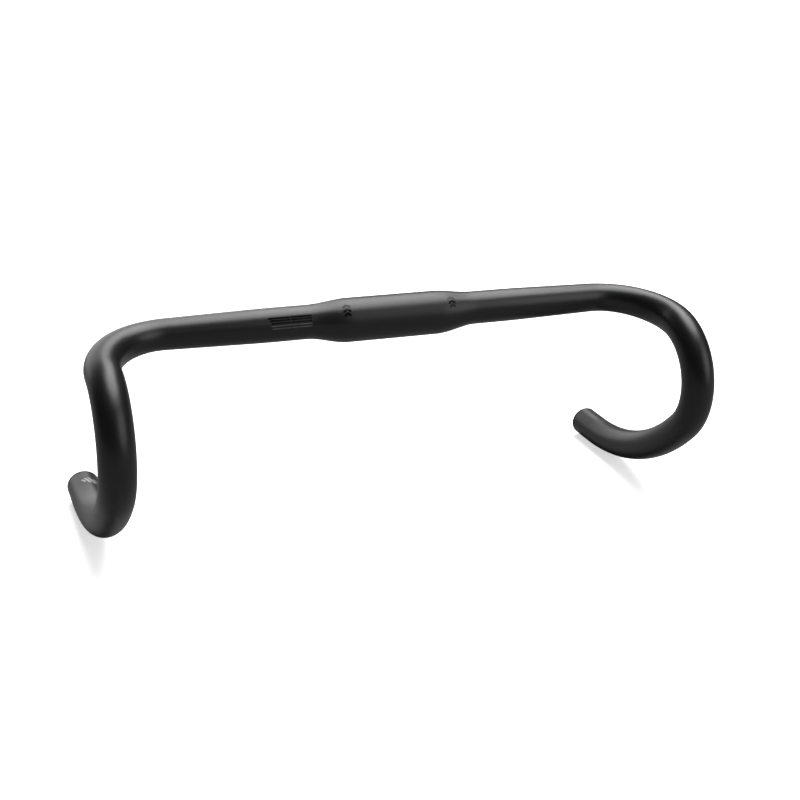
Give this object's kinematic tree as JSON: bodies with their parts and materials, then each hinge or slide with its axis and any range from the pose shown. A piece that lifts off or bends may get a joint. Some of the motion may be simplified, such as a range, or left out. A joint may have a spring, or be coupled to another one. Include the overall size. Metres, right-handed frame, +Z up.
{
  "type": "drop handlebar",
  "caption": "Black road bicycle drop handlebar: oversize stem clamp tapering to slim tops, short forward ramps, compact hooks and level drop ends closed by expanding plugs.",
  "frame": {"origin": "centre of the stem clamp section, on the tube's axis", "axes": "+Z up, -Y forward along the ride direction, +X towards the rider's left along the clamp's axis; the drop ends lie level, so the bar also stands on them"},
  "size_m": [0.4566, 0.1738, 0.1653],
  "materials": {
    "bar_satin_black": "satin black anodised",
    "gloss_black_print": "gloss printed film",
    "silver_print": "satin silver printed film",
    "cap_black": "turned, satin black anodised",
    "screw_steel": "black oxide",
    "nut_steel": "milled, bare",
    "shoe_nylon": "moulded matt",
    "ring_rubber": "matt"
  },
  "bodies": {
    "bar": {"handlebar_tube": "bar_satin_black", "lever_scale_print": "gloss_black_print", "left_taper_print": "gloss_black_print", "right_taper_print": "gloss_black_print", "drop_print": "silver_print"},
    "left_plug": {"left_plug_cap": "cap_black", "left_shoe_ring": "ring_rubber"},
    "left_screw": {"left_plug_screw": "screw_steel"},
    "left_nut": {"left_wedge_nut": "nut_steel"},
    "left_shoe_1": {"left_grip_shoe_1": "shoe_nylon"},
    "left_shoe_2": {"left_grip_shoe_2": "shoe_nylon"},
    "left_shoe_3": {"left_grip_shoe_3": "shoe_nylon"},
    "right_plug": {"right_plug_cap": "cap_black", "right_shoe_ring": "ring_rubber"},
    "right_screw": {"right_plug_screw": "screw_steel"},
    "right_nut": {"right_wedge_nut": "nut_steel"},
    "right_shoe_1": {"right_grip_shoe_1": "shoe_nylon"},
    "right_shoe_2": {"right_grip_shoe_2": "shoe_nylon"},
    "right_shoe_3": {"right_grip_shoe_3": "shoe_nylon"}
  },
  "joints": [
    {"name": "left_plug_pull", "type": "slide", "parent": "bar", "child": "left_plug", "axis": [0.0279, 0.9996, 0], "range_m": [0, 0.025]},
    {"name": "left_screw_turn", "type": "hinge", "parent": "left_plug", "child": "left_screw", "pos_m": [0.21638, 0.07403, -0.13746], "axis": [-0.0279, -0.9996, 0], "range_deg": [0, 950]},
    {"name": "left_nut_draw", "type": "slide", "parent": "left_plug", "child": "left_nut", "axis": [0.0279, 0.9996, 0], "range_m": [0, 0.0021]},
    {"name": "left_shoe_1_spread", "type": "slide", "parent": "left_plug", "child": "left_shoe_1", "axis": [0, 0, 1], "range_m": [0, 0.00045]},
    {"name": "left_shoe_2_spread", "type": "slide", "parent": "left_plug", "child": "left_shoe_2", "axis": [0.8657, -0.0242, -0.5], "range_m": [0, 0.00045]},
    {"name": "left_shoe_3_spread", "type": "slide", "parent": "left_plug", "child": "left_shoe_3", "axis": [-0.8657, 0.0242, -0.5], "range_m": [0, 0.00045]},
    {"name": "right_plug_pull", "type": "slide", "parent": "bar", "child": "right_plug", "axis": [-0.0279, 0.9996, 0], "range_m": [0, 0.025]},
    {"name": "right_screw_turn", "type": "hinge", "parent": "right_plug", "child": "right_screw", "pos_m": [-0.21638, 0.07403, -0.13746], "axis": [0.0279, -0.9996, 0], "range_deg": [0, 950]},
    {"name": "right_nut_draw", "type": "slide", "parent": "right_plug", "child": "right_nut", "axis": [-0.0279, 0.9996, 0], "range_m": [0, 0.0021]},
    {"name": "right_shoe_1_spread", "type": "slide", "parent": "right_plug", "child": "right_shoe_1", "axis": [0, 0, 1], "range_m": [0, 0.00045]},
    {"name": "right_shoe_2_spread", "type": "slide", "parent": "right_plug", "child": "right_shoe_2", "axis": [0.8657, 0.0242, -0.5], "range_m": [0, 0.00045]},
    {"name": "right_shoe_3_spread", "type": "slide", "parent": "right_plug", "child": "right_shoe_3", "axis": [-0.8657, -0.0242, -0.5], "range_m": [0, 0.00045]}
  ],
  "couplings": [
    {"joint": "left_screw_turn", "follows": "left_nut_draw", "rad_per_m": 7854},
    {"joint": "left_shoe_1_spread", "follows": "left_nut_draw", "ratio": 0.21256},
    {"joint": "left_shoe_2_spread", "follows": "left_nut_draw", "ratio": 0.21256},
    {"joint": "left_shoe_3_spread", "follows": "left_nut_draw", "ratio": 0.21256},
    {"joint": "right_screw_turn", "follows": "right_nut_draw", "rad_per_m": 7854},
    {"joint": "right_shoe_1_spread", "follows": "right_nut_draw", "ratio": 0.21256},
    {"joint": "right_shoe_2_spread", "follows": "right_nut_draw", "ratio": 0.21256},
    {"joint": "right_shoe_3_spread", "follows": "right_nut_draw", "ratio": 0.21256}
  ]
}
